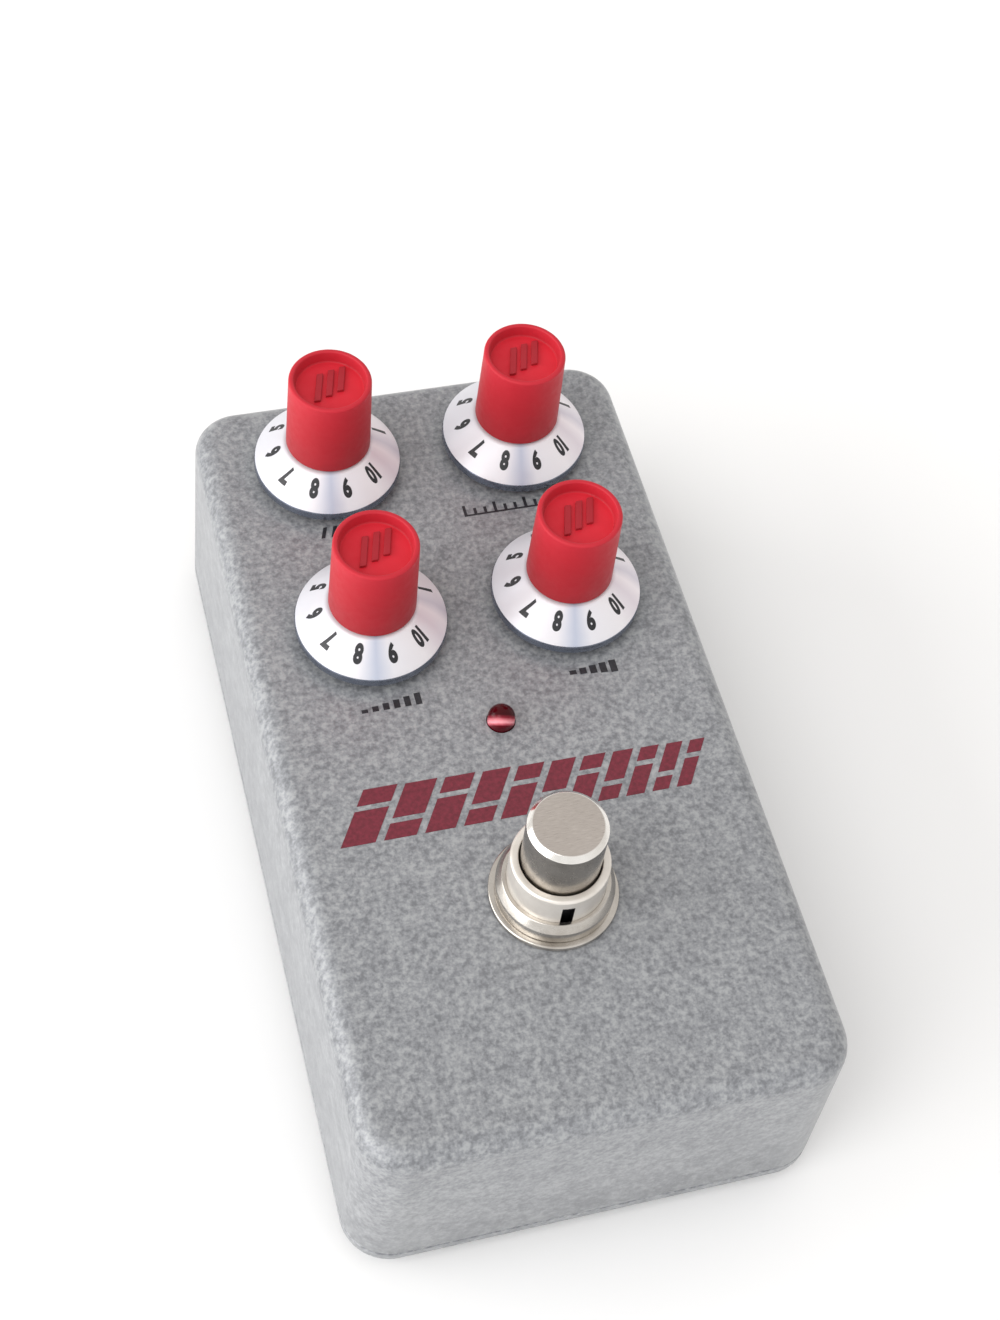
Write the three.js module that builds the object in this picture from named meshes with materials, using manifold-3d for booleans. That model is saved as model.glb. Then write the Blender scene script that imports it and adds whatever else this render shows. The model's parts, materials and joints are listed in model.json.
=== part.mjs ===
// Guitar effects pedal: a die-cast box with four skirted knobs on potentiometers, an indicator lamp,
// a foot switch, two 6.35 mm jacks and a power socket on the rear wall, circuit boards inside,
// and a screwed bottom cover on four rubber feet.
//
// Millimetres, +Z up, +Y towards the jack end, +X to the player's right.
// Every piece is drawn in the panel frame (x = 0 on the centreline, y = 0 midway between the two knob
// rows, z = 0 on the outside of the top panel); the exported group lifts that frame so that the origin
// lies under the middle of the whole pedal, on the surface that it stands on.
import * as THREE from "three";
import { mergeVertices } from "three/addons/utils/BufferGeometryUtils.js";
import Module from "manifold-3d";

const wasm = await Module();
wasm.setup();

// ---------------------------------------------------------------- driving dimensions
const HALF_W = 29.6; // half width of the box at the top panel
const Y_BACK = 26.3; // rear edge of the box at the top panel
const Y_FRONT = -84.7; // front edge of the box at the top panel
const SHELL_H = 28.0; // height of the cast shell
const WALL = 2.0; // side wall thickness
const PANEL = 2.2; // top panel thickness
const EDGE_R = 2.8; // rounding between the panel and the walls
const CORNER_R = 6.0; // plan radius of the corners
const DRAFT_X = 0.85; // how far each side wall leans out over the shell height
const DRAFT_Y = 0.4; // the same for the end walls
const COVER_GAP = 0.2; // joint line between shell and cover
const COVER_T = 1.9; // bottom cover thickness
const FOOT_H = 2.6; // rubber foot height below the cover
const FOOT_R = 5.5;
const FOOT_X = 19.0;
const FOOT_Y = [11.5, -69.9];
const BOSS_R = 3.3; // screw bosses in the shell's corners
const BOSS_X = 24.3;
const BOSS_Y = [21.0, -79.4];

const KNOB_X = 13.0; // knobs stand at +-KNOB_X, +-KNOB_Y
const KNOB_Y = 13.36;
const SKIRT_R = 9.8; // printed conical skirt
const SKIRT_Z0 = 1.3;
const SKIRT_Z1 = 2.45;
const CAP_R0 = 5.6; // grip, at its foot
const CAP_R1 = 5.37; // grip, at its top
const CAP_Z0 = 6.1;
const CAP_Z1 = 18.1;
const CAP_RECESS = 1.6; // depth of the dished top
const SHAFT_R = 3.0; // 6 mm potentiometer shaft
const POT_BUSH_R = 3.5; // M7 bush

const LED_Y = -30.3;
const LED_R = 1.75;
const LED_RIM = 0.85; // where the lens stops being straight and starts to round over

const SWITCH_Y = -55.1;
const SWITCH_BUSH_R = 6.0; // M12 bush
const SWITCH_BORE_R = 4.95;
const SWITCH_TOP = 8.6; // top of the bush
const BUTTON_R = 4.8;
const BUTTON_TOP = 16.6;

const JACK_X = 13.2; // 6.35 mm jacks at +-JACK_X
const JACK_Z = -17.9;
const JACK_BUSH_R = 4.6;
const JACK_BORE_R = 3.2;
const JACK_END = 31.3; // outer end of the jack bush
const BOARD_Z0 = -11.4; // main board
const BOARD_Z1 = -9.8;

const Y_MID = (Y_BACK + Y_FRONT) / 2;
const HALF_L = (Y_BACK - Y_FRONT) / 2;
const COVER_Z1 = -SHELL_H - COVER_GAP;
const COVER_Z0 = COVER_Z1 - COVER_T;
const FLOOR = COVER_Z0 - FOOT_H;
const Y_SHIFT = -(JACK_END + Y_FRONT - DRAFT_Y) / 2;

// ---------------------------------------------------------------- solids
const indexed = (geometry) => {
  const bare = new THREE.BufferGeometry().setAttribute(
    "position",
    (geometry.index ? geometry.toNonIndexed() : geometry).getAttribute("position"),
  );
  const merged = mergeVertices(bare, 1e-4);
  const kept = [];
  const index = merged.index.array;
  for (let i = 0; i < index.length; i += 3) {
    const [a, b, c] = [index[i], index[i + 1], index[i + 2]];
    if (a !== b && b !== c && c !== a) kept.push(a, b, c);
  }
  return [new Float32Array(merged.attributes.position.array), new Uint32Array(kept)];
};

const solid = (geometry) => {
  const [vertProperties, triVerts] = indexed(geometry);
  const make = () => new wasm.Manifold(new wasm.Mesh({ numProp: 3, vertProperties, triVerts }));
  let made = make();
  if (made.volume() < 0) {
    for (let i = 0; i < triVerts.length; i += 3)
      [triVerts[i + 1], triVerts[i + 2]] = [triVerts[i + 2], triVerts[i + 1]];
    made = make();
  }
  return made;
};

const geometryOf = (made) => {
  const m = made.getMesh();
  const v = new Float32Array(m.numVert * 3);
  for (let i = 0; i < m.numVert; i++)
    v.set(m.vertProperties.subarray(i * m.numProp, i * m.numProp + 3), i * 3);
  const g = new THREE.BufferGeometry()
    .setAttribute("position", new THREE.BufferAttribute(v, 3))
    .setIndex(new THREE.BufferAttribute(new Uint32Array(m.triVerts), 1))
    .toNonIndexed();
  g.computeVertexNormals();
  return g;
};

// A turned piece: its profile is [radius, z] points, closed on itself or on the axis.
const turned = (profile, segments = 32, ring = true) => {
  const points = profile.map(([r, z]) => new THREE.Vector2(r, z));
  if (ring) points.push(points[0].clone());
  return solid(new THREE.LatheGeometry(points, segments).rotateX(Math.PI / 2));
};
const rod = (r, z0, z1, segments = 24) =>
  solid(
    new THREE.CylinderGeometry(r, r, z1 - z0, segments)
      .rotateX(Math.PI / 2)
      .translate(0, 0, (z0 + z1) / 2),
  );
const block = (x0, x1, y0, y1, z0, z1) =>
  solid(
    new THREE.BoxGeometry(x1 - x0, y1 - y0, z1 - z0).translate(
      (x0 + x1) / 2,
      (y0 + y1) / 2,
      (z0 + z1) / 2,
    ),
  );
const at = (made, x, y, z = 0) => made.translate([x, y, z]);
// Turns a piece made along +Z so that it points along +Y.
const alongY = (made) => made.rotate([-90, 0, 0]);

const roundedRect = (halfX, halfY, r) => {
  const s = new THREE.Shape();
  s.moveTo(-halfX + r, -halfY);
  s.lineTo(halfX - r, -halfY);
  s.absarc(halfX - r, -halfY + r, r, -Math.PI / 2, 0);
  s.lineTo(halfX, halfY - r);
  s.absarc(halfX - r, halfY - r, r, 0, Math.PI / 2);
  s.lineTo(-halfX + r, halfY);
  s.absarc(-halfX + r, halfY - r, r, Math.PI / 2, Math.PI);
  s.lineTo(-halfX, -halfY + r);
  s.absarc(-halfX + r, -halfY + r, r, Math.PI, 1.5 * Math.PI);
  return s;
};
// Leans the walls outwards below the panel, as a casting's draft does.
const drafted = (geometry) => {
  const p = geometry.getAttribute("position");
  for (let i = 0; i < p.count; i++) {
    const t = Math.max(0, -p.getZ(i)) / SHELL_H;
    p.setX(i, p.getX(i) * (1 + (DRAFT_X / HALF_W) * t));
    p.setY(i, p.getY(i) * (1 + (DRAFT_Y / HALF_L) * t));
  }
  return geometry;
};
const prism = (shape, z0, z1, curveSegments = 6) =>
  new THREE.ExtrudeGeometry(shape, {
    depth: z1 - z0,
    bevelEnabled: false,
    curveSegments,
  }).translate(0, 0, z0);
const hexagon = (acrossFlats, z0, z1, bore) => {
  const s = new THREE.Shape();
  const R = acrossFlats / Math.sqrt(3);
  for (let i = 0; i < 6; i++) {
    const a = (i * Math.PI) / 3;
    if (i) s.lineTo(R * Math.cos(a), R * Math.sin(a));
    else s.moveTo(R, 0);
  }
  s.closePath();
  const hole = new THREE.Path();
  hole.absarc(0, 0, bore, 0, 2 * Math.PI, true);
  s.holes.push(hole);
  return solid(prism(s, z0, z1, 14));
};

// ---------------------------------------------------------------- materials
const material = (color, roughness, metalness) =>
  new THREE.MeshStandardMaterial({ color, roughness, metalness });
const PAINT = material(0x9da0a3, 0.45, 0.3);
const GRIP = material(0xb01f2c, 0.6, 0.0);
const SKIRT = material(0xf0f1f4, 0.3, 0.2);
const CHROME = material(0xcfccc6, 0.22, 1.0);
const ZINC = material(0xb8babd, 0.4, 1.0);
const STEEL = material(0x2a2a2c, 0.45, 0.8);
const RUBBER = material(0x1c1c1d, 0.9, 0.0);
const BLACK = material(0x202022, 0.55, 0.0);
const BOARD = material(0x1f5b35, 0.5, 0.0);
const LAMP = material(0x7a0c12, 0.1, 0.0);
const BLUE = material(0x2a56a8, 0.5, 0.0);
const WHITE = material(0xe6e4dc, 0.5, 0.0);
const GREYWIRE = material(0x8d9094, 0.6, 0.0);
const FILM = material(0x9c2f1f, 0.4, 0.0);

const pedal = new THREE.Group();
pedal.position.set(0, Y_SHIFT, -FLOOR);
const add = (name, made, look, group = pedal) => {
  const mesh = new THREE.Mesh(geometryOf(made), look);
  mesh.name = name;
  group.add(mesh);
  return mesh;
};

// ---------------------------------------------------------------- cast shell
{
  // The outside, with the rounded upper edge; the lower bevel is cut away at the joint line.
  const outside = drafted(
    new THREE.ExtrudeGeometry(
      roundedRect(HALF_W - EDGE_R, HALF_L - EDGE_R, CORNER_R - EDGE_R),
      {
        depth: SHELL_H + 10,
        bevelEnabled: true,
        bevelThickness: EDGE_R,
        bevelSize: EDGE_R,
        bevelSegments: 5,
        curveSegments: 6,
      },
    ).translate(0, 0, -SHELL_H - 10 - EDGE_R),
  );
  const inside = drafted(
    prism(roundedRect(HALF_W - WALL, HALF_L - WALL, CORNER_R - WALL), -SHELL_H - 1, -PANEL),
  );
  let shell = solid(outside)
    .subtract(block(-60, 60, -90, 90, -80, -SHELL_H))
    .subtract(solid(inside));
  for (const x of [-BOSS_X, BOSS_X])
    for (const y of BOSS_Y) {
      shell = shell.add(at(rod(BOSS_R, -SHELL_H, -PANEL + 0.5, 20), x, y - Y_MID));
      // A web ties each boss to both walls.
      const sx = Math.sign(x);
      const sy = Math.sign(y - Y_MID);
      const web = block(
        Math.min(x, sx * (HALF_W - 1)),
        Math.max(x, sx * (HALF_W - 1)),
        y - Y_MID - 1,
        y - Y_MID + 1,
        -SHELL_H,
        -PANEL + 0.5,
      );
      const rib = block(
        x - 1,
        x + 1,
        Math.min(y - Y_MID, sy * (HALF_L - 1)),
        Math.max(y - Y_MID, sy * (HALF_L - 1)),
        -SHELL_H,
        -PANEL + 0.5,
      );
      shell = shell.add(web).add(rib);
    }
  for (const x of [-BOSS_X, BOSS_X])
    for (const y of BOSS_Y)
      shell = shell.subtract(at(rod(1.4, -SHELL_H - 1, -SHELL_H + 13, 16), x, y - Y_MID));
  shell = at(shell, 0, Y_MID);
  for (const x of [-KNOB_X, KNOB_X])
    for (const y of [-KNOB_Y, KNOB_Y])
      shell = shell.subtract(at(rod(POT_BUSH_R + 0.25, -5, 2, 24), x, y));
  shell = shell.subtract(at(rod(LED_R + 0.12, -5, 2, 24), 0, LED_Y));
  shell = shell.subtract(at(rod(SWITCH_BUSH_R + 0.2, -5, 2, 32), 0, SWITCH_Y));
  for (const x of [-JACK_X, JACK_X])
    shell = shell.subtract(at(alongY(rod(JACK_BUSH_R + 0.25, 20, 35, 28)), x, 0, JACK_Z));
  shell = shell.subtract(at(alongY(rod(4.2, 20, 35, 28)), 0, 0, JACK_Z));
  add("enclosure_shell", shell, PAINT);
}

// ---------------------------------------------------------------- bottom cover, screws, feet
{
  const kx = HALF_W + DRAFT_X;
  const ky = HALF_L + DRAFT_Y;
  let cover = at(solid(prism(roundedRect(kx, ky, CORNER_R), COVER_Z0, COVER_Z1)), 0, Y_MID);
  // A locating lip stands up inside the shell walls and stops short of the screw bosses.
  const ringShape = roundedRect(kx - WALL - 0.6, ky - WALL - 0.6, CORNER_R - WALL - 0.6);
  ringShape.holes.push(
    new THREE.Path(
      roundedRect(kx - WALL - 2.0, ky - WALL - 2.0, CORNER_R - WALL - 2.0 + 0.4)
        .getPoints(6)
        .reverse(),
    ),
  );
  let lip = at(solid(prism(ringShape, COVER_Z1 - 0.5, COVER_Z1 + 1.6)), 0, Y_MID);
  for (const x of [-BOSS_X, BOSS_X])
    for (const y of BOSS_Y) {
      const sx = Math.sign(x);
      const sy = Math.sign(y - Y_MID);
      lip = lip.subtract(
        block(
          Math.min(sx * 18.5, sx * 40),
          Math.max(sx * 18.5, sx * 40),
          Math.min(y - sy * 5, y + sy * 12),
          Math.max(y - sy * 5, y + sy * 12),
          COVER_Z1 + 0.02,
          -SHELL_H + 5,
        ),
      );
    }
  cover = cover.add(lip);
  const screwSeat = turned(
    [
      [0, COVER_Z0 - 0.5],
      [3.05, COVER_Z0 - 0.5],
      [3.05, COVER_Z0 + 0.25],
      [1.6, COVER_Z0 + 1.6],
      [1.6, COVER_Z1 + 0.5],
      [0, COVER_Z1 + 0.5],
    ],
    24,
    false,
  );
  const screw = turned(
    [
      [0, COVER_Z0 + 0.05],
      [2.85, COVER_Z0 + 0.05],
      [2.85, COVER_Z0 + 0.3],
      [1.3, COVER_Z0 + 1.75],
      [1.3, COVER_Z1 + 9.3],
      [0.6, COVER_Z1 + 10.2],
      [0, COVER_Z1 + 10.2],
    ],
    24,
    false,
  )
    .subtract(block(-1.6, 1.6, -0.3, 0.3, COVER_Z0 - 1, COVER_Z0 + 0.95))
    .subtract(block(-0.3, 0.3, -1.6, 1.6, COVER_Z0 - 1, COVER_Z0 + 0.95));
  const foot = turned(
    [
      [0, FLOOR],
      [FOOT_R - 0.7, FLOOR],
      [FOOT_R - 0.3, FLOOR + 0.4],
      [FOOT_R, COVER_Z0 - 0.1],
      [0, COVER_Z0 - 0.1],
    ],
    28,
    false,
  );
  const corners = [
    ["front_left", -1, 1],
    ["front_right", 1, 1],
    ["rear_left", -1, 0],
    ["rear_right", 1, 0],
  ];
  for (const [where, sx, row] of corners) {
    cover = cover.subtract(at(screwSeat, sx * BOSS_X, BOSS_Y[row]));
    add(`cover_screw_${where}`, at(screw, sx * BOSS_X, BOSS_Y[row]), STEEL);
    add(`rubber_foot_${where}`, at(foot, sx * FOOT_X, FOOT_Y[row]), RUBBER);
  }
  add("bottom_cover", cover, PAINT);
}

// ---------------------------------------------------------------- main board and what stands on it
add("main_board", block(-20.6, 20.6, -41.5, 23.4, BOARD_Z0, BOARD_Z1), BOARD);
{
  let chip = block(-3.1, 3.1, 1.2, 10.8, -9.2, -6.0);
  for (let i = 0; i < 4; i++)
    for (const s of [-1, 1]) {
      const y = 2.2 + i * 2.54;
      chip = chip
        .add(block(Math.min(s * 3, s * 4), Math.max(s * 3, s * 4), y - 0.5, y + 0.5, -8.0, -7.5))
        .add(
          block(Math.min(s * 3.6, s * 4), Math.max(s * 3.6, s * 4), y - 0.5, y + 0.5, -9.7, -7.5),
        );
    }
  add("op_amp_chip", chip, BLACK);
}
add(
  "electrolytic_capacitor",
  at(
    turned(
      [
        [0, -9.7],
        [2.4, -9.7],
        [2.5, -9.5],
        [2.5, -9.0],
        [2.35, -8.8],
        [2.5, -8.6],
        [2.5, -4.0],
        [2.3, -3.8],
        [0, -3.8],
      ],
      20,
      false,
    ),
    3.6,
    -7.5,
  ),
  BLUE,
);
add("film_capacitor", block(-6.6, -1.0, -9.2, -6.6, -9.7, -4.2), FILM);
add(
  "trimmer_coil",
  at(
    turned(
      [
        [0, -9.7],
        [3.4, -9.7],
        [3.4, -8.9],
        [2.2, -8.9],
        [2.2, -5.6],
        [3.4, -5.6],
        [3.4, -4.8],
        [0, -4.8],
      ],
      20,
      false,
    ),
    0,
    -18.5,
  ),
  BLACK,
);

// ---------------------------------------------------------------- indicator lamp
{
  const dome = [];
  for (let i = 0; i <= 6; i++) {
    const a = (i / 6) * (Math.PI / 2);
    dome.push([LED_R * Math.cos(a), LED_RIM + 1.6 * Math.sin(a)]);
  }
  dome[6][0] = 0;
  let lamp = turned([[0, -5.4], [LED_R + 0.35, -5.4], [LED_R + 0.35, -4.4], [LED_R, -4.4], ...dome], 24, false);
  for (const x of [-0.8, 0.8]) lamp = lamp.add(at(rod(0.25, -9.7, -5.2, 8), x, 0));
  add("indicator_lamp", at(lamp, 0, LED_Y), LAMP);
  let spacer = rod(2.6, -9.7, -5.6, 24);
  for (const x of [-0.8, 0.8]) spacer = spacer.subtract(at(rod(0.45, -10, -5, 8), x, 0));
  add("lamp_spacer", at(spacer, 0, LED_Y), BLACK);
}

// ---------------------------------------------------------------- potentiometers and knobs
const KNOBS = [
  ["tone", -KNOB_X, KNOB_Y],
  ["mid", KNOB_X, KNOB_Y],
  ["level", -KNOB_X, -KNOB_Y],
  ["gain", KNOB_X, -KNOB_Y],
];
for (const [which, x, y] of KNOBS) {
  const body = block(-4.8, 4.8, -5.2, 5.2, -9.7, -2.5)
    .add(rod(POT_BUSH_R, -4, 4.4, 28))
    .subtract(rod(SHAFT_R + 0.1, -7, 6, 28))
    .subtract(rod(4.2, -7.9, -6.2, 28));
  add(`pot_body_${which}`, at(body, x, y), ZINC);
  add(
    `pot_washer_${which}`,
    at(turned([[3.7, 0.1], [5.9, 0.1], [5.9, 0.6], [3.7, 0.6]], 28), x, y),
    ZINC,
  );
  add(`pot_nut_${which}`, at(hexagon(10, 0.7, 2.7, POT_BUSH_R + 0.15), x, y), CHROME);
  const knob = new THREE.Group();
  knob.position.set(x, y, 0);
  pedal.add(knob);
  add(
    `pot_shaft_${which}`,
    turned(
      [[0, -7.6], [3.9, -7.6], [3.9, -6.5], [SHAFT_R, -6.5], [SHAFT_R, 13.6], [SHAFT_R - 0.4, 14.0], [0, 14.0]],
      28,
      false,
    ),
    ZINC,
    knob,
  );
  add(
    `knob_skirt_${which}`,
    turned(
      [
        [4.2, 3.7],
        [6.6, 3.7],
        [9.0, SKIRT_Z0],
        [SKIRT_R, SKIRT_Z0],
        [SKIRT_R, SKIRT_Z1],
        [SKIRT_R - 0.25, SKIRT_Z1 + 0.2],
        [7.73, 4.47],
        [5.85, CAP_Z0 - 0.1],
        [4.2, CAP_Z0 - 0.1],
      ],
      32,
    ),
    SKIRT,
    knob,
  );
  add(
    `knob_cap_${which}`,
    turned(
      [
        [0, 14.3],
        [SHAFT_R + 0.1, 14.3],
        [SHAFT_R + 0.1, 4.9],
        [4.1, 4.9],
        [4.1, CAP_Z0],
        [CAP_R0, CAP_Z0],
        [CAP_R1, CAP_Z1 - 0.5],
        [CAP_R1 - 0.35, CAP_Z1],
        [4.7, CAP_Z1],
        [4.5, CAP_Z1 - CAP_RECESS],
        [0, CAP_Z1 - CAP_RECESS],
      ],
      32,
      false,
    ),
    GRIP,
    knob,
  );
}

// ---------------------------------------------------------------- foot switch
{
  const sw = new THREE.Group();
  sw.position.set(0, SWITCH_Y, 0);
  pedal.add(sw);
  let bush = turned(
    [
      [2.6, -4.3],
      [SWITCH_BUSH_R, -4.3],
      [SWITCH_BUSH_R, SWITCH_TOP - 0.4],
      [SWITCH_BUSH_R - 0.4, SWITCH_TOP],
      [SWITCH_BORE_R + 0.1, SWITCH_TOP],
      [SWITCH_BORE_R, SWITCH_TOP - 0.2],
      [SWITCH_BORE_R, -3.0],
      [2.6, -3.0],
    ],
    32,
  );
  // Keyway up the front of the bush.
  bush = bush.subtract(block(-1.25, 0.25, -7, -5.2, -3.5, 7.2));
  add("footswitch_bush", bush, CHROME, sw);
  add(
    "footswitch_washer",
    turned([[6.15, 0.1], [7.95, 0.1], [7.95, 0.7], [7.75, 0.9], [6.15, 0.9]], 36),
    CHROME,
    sw,
  );
  add(
    "footswitch_dress_nut",
    turned(
      [[6.15, 1.0], [7.2, 1.0], [7.2, 2.8], [6.5, 3.9], [6.15, 3.9]],
      32,
    ),
    CHROME,
    sw,
  );
  add("footswitch_lock_nut", hexagon(14, -4.2, -2.4, SWITCH_BUSH_R + 0.15), ZINC, sw);
  const housing = block(-8.5, 8.5, -8.7, 8.7, -17.4, -4.5).subtract(rod(4.4, -16.2, -4, 28));
  add("footswitch_housing", housing, BLUE, sw);
  let terminals = block(-7.6, 7.6, -7.6, 7.6, -18.8, -17.6);
  for (const x of [-5, 0, 5])
    for (const y of [-5, 0, 5])
      terminals = terminals.add(block(x - 1.1, x + 1.1, y - 0.4, y + 0.4, -22.3, -18.5));
  add("footswitch_terminals", terminals, ZINC, sw);
  // Press button, and the plastic plunger that it drives.
  add(
    "footswitch_button",
    turned(
      [
        [0, 5.9],
        [2.5, 5.9],
        [2.5, -0.2],
        [BUTTON_R, -0.2],
        [BUTTON_R, BUTTON_TOP - 0.65],
        [BUTTON_R - 0.6, BUTTON_TOP],
        [0, BUTTON_TOP],
      ],
      32,
      false,
    ),
    CHROME,
    sw,
  );
  add(
    "footswitch_plunger",
    turned(
      [
        [0, -8.0],
        [1.7, -8.0],
        [1.7, -5.9],
        [3.9, -5.9],
        [3.9, -4.75],
        [2.3, -4.75],
        [2.3, 5.7],
        [0, 5.7],
      ],
      28,
      false,
    ),
    WHITE,
    sw,
  );
  // Return spring, between the plunger's collar and the floor of the housing.
  const turns = 5;
  const points = [];
  for (let i = 0; i <= turns * 14; i++) {
    const a = (i / 14) * 2 * Math.PI;
    points.push(
      new THREE.Vector3(2.9 * Math.cos(a), 2.9 * Math.sin(a), -15.6 + (9.1 * i) / (turns * 14)),
    );
  }
  const wire = new THREE.Shape().absarc(0, 0, 0.35, 0, 2 * Math.PI);
  const spring = new THREE.ExtrudeGeometry(wire, {
    steps: turns * 14,
    curveSegments: 3,
    bevelEnabled: false,
    extrudePath: new THREE.CatmullRomCurve3(points),
  });
  add("footswitch_spring", solid(spring), ZINC, sw);
}
add("switch_board", block(-9.2, 9.2, SWITCH_Y - 9, SWITCH_Y + 12, -23.7, -22.5), BOARD);
{
  // Flat cable from the underside of the main board to the switch board, folded once.
  const line = new THREE.CubicBezierCurve(
    new THREE.Vector2(-38.6, -11.6),
    new THREE.Vector2(-38.6, -20.5),
    new THREE.Vector2(-44.6, -14.5),
    new THREE.Vector2(-44.6, -22.35),
  );
  const outline = new THREE.Shape();
  const left = [];
  const right = [];
  for (let i = 0; i <= 14; i++) {
    const p = line.getPoint(i / 14);
    const t = line.getTangent(i / 14);
    left.push(new THREE.Vector2(p.x - t.y * 0.45, p.y + t.x * 0.45));
    right.push(new THREE.Vector2(p.x + t.y * 0.45, p.y - t.x * 0.45));
  }
  outline.setFromPoints([...left, ...right.reverse()]);
  const g = new THREE.ExtrudeGeometry(outline, { depth: 12, bevelEnabled: false })
    .translate(0, 0, -6)
    .applyMatrix4(
      new THREE.Matrix4().makeBasis(
        new THREE.Vector3(0, 1, 0),
        new THREE.Vector3(0, 0, 1),
        new THREE.Vector3(1, 0, 0),
      ),
    );
  add("ribbon_cable", solid(g), GREYWIRE);
}

// ---------------------------------------------------------------- jacks and power socket on the rear wall
const wallAt = (z) => Y_BACK + (DRAFT_Y * -z) / SHELL_H;
for (const [which, x] of [
  ["input", JACK_X],
  ["output", -JACK_X],
]) {
  const jack = block(-6.5, 6.5, 0.8, 23.9, -6.0, 6.0)
    .add(alongY(rod(JACK_BUSH_R, 22, JACK_END, 28)))
    .subtract(alongY(rod(JACK_BORE_R, 4.0, JACK_END + 1, 24)));
  add(`${which}_jack_body`, at(jack, x, 0, JACK_Z), BLACK);
  const face = wallAt(JACK_Z - 7) + 0.12;
  add(
    `${which}_jack_washer`,
    at(alongY(turned([[4.75, face], [6.9, face], [6.9, face + 0.7], [4.75, face + 0.7]], 28)), x, 0, JACK_Z),
    CHROME,
  );
  add(
    `${which}_jack_nut`,
    at(alongY(hexagon(12, face + 0.8, face + 3.2, JACK_BUSH_R + 0.15)), x, 0, JACK_Z),
    CHROME,
  );
}
{
  const end = wallAt(JACK_Z) + 0.2;
  const socket = block(-4.6, 4.6, 10.0, 23.9, -6.0, 5.0)
    .add(alongY(rod(4.0, 22, end, 24)))
    .subtract(alongY(rod(3.1, 14.5, end + 1, 24)))
    .add(alongY(turned([[0, 13], [1.05, 13], [1.05, end - 1.4], [0.7, end - 0.9], [0, end - 0.9]], 12, false)));
  add("power_socket", at(socket, 0, 0, JACK_Z), BLACK);
}

export default pedal;
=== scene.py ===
import json
import math

import bmesh
import bpy
from mathutils import Matrix, Vector


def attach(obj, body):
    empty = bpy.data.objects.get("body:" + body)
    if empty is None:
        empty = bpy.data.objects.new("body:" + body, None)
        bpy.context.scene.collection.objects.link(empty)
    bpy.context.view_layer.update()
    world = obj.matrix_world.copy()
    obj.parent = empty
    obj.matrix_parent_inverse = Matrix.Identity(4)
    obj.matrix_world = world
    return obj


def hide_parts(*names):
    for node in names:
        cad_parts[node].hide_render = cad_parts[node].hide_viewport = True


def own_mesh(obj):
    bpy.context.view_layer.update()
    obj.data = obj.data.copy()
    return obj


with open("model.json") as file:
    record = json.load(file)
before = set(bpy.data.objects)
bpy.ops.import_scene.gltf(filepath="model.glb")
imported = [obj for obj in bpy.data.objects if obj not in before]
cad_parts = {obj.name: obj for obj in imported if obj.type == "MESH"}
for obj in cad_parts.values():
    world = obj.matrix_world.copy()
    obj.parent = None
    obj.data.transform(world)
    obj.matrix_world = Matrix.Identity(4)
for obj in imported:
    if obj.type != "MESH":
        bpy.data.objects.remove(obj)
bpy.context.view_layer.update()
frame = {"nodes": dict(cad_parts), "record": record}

# ------------------------------------------------------------------ dimensions, millimetres
# Panel frame: x = 0 on the centreline, y = 0 midway between the knob rows, z = 0 on the panel.
Y0, Z0 = 26.9, 32.7  # the panel frame's origin in the row frame
HALF_W, Y_BACK, Y_FRONT = 29.6, 26.3, -84.7
SHELL_H, WALL, PANEL = 28.0, 2.0, 2.2
EDGE_R, CORNER_R, DRAFT_X, DRAFT_Y = 2.8, 6.0, 0.85, 0.4
Y_MID, HALF_L = (Y_BACK + Y_FRONT) / 2, (Y_BACK - Y_FRONT) / 2
COVER_Z1, COVER_T, FOOT_H = -SHELL_H - 0.2, 1.9, 2.6
COVER_Z0 = COVER_Z1 - COVER_T
FLOOR = COVER_Z0 - FOOT_H
KNOBS = {
    "tone": (-13.0, 13.36),
    "mid": (13.0, 13.36),
    "level": (-13.0, -13.36),
    "gain": (13.0, -13.36),
}
LED_Y, LED_R = -30.3, 1.75
SWITCH_Y = -55.1
JACK_X, JACK_Z, JACK_END = 13.2, -17.9, 31.3
BOSSES = [(x, y) for y in (21.0, -79.4) for x in (-24.3, 24.3)]
FEET = {
    "front_left": (-19.0, -69.9),
    "front_right": (19.0, -69.9),
    "rear_left": (-19.0, 11.5),
    "rear_right": (19.0, 11.5),
}
SCREWS = {
    "front_left": (-24.3, -79.4),
    "front_right": (24.3, -79.4),
    "rear_left": (-24.3, 21.0),
    "rear_right": (24.3, 21.0),
}


def row(x, y, z):
    return Vector((x / 1000, (y + Y0) / 1000, (z + Z0) / 1000))


# ------------------------------------------------------------------ mesh helpers
def link(name, mesh, at=(0, 0, 0), turn=None):
    obj = bpy.data.objects.new(name, mesh)
    bpy.context.scene.collection.objects.link(obj)
    obj.matrix_world = Matrix.Translation(row(*at)) @ (turn or Matrix.Identity(4))
    return obj


def from_bmesh(name, bm, at=(0, 0, 0), turn=None, angle=38.0, merge=1e-7):
    if merge:
        bmesh.ops.remove_doubles(bm, verts=bm.verts, dist=merge)
    bmesh.ops.recalc_face_normals(bm, faces=bm.faces)
    smooth(bm, angle)
    mesh = bpy.data.meshes.new(name)
    bm.to_mesh(mesh)
    bm.free()
    return link(name, mesh, at, turn)


def smooth(bm, angle):
    for f in bm.faces:
        f.smooth = True
    for e in bm.edges:
        e.smooth = len(e.link_faces) != 2 or e.calc_face_angle(0.0) < math.radians(angle)


def heal(bm):
    """Closes the pinholes that a boolean or a font's outline can leave."""
    edges = [e for e in bm.edges if e.is_boundary]
    if edges:
        bmesh.ops.holes_fill(bm, edges=edges, sides=8)


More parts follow.
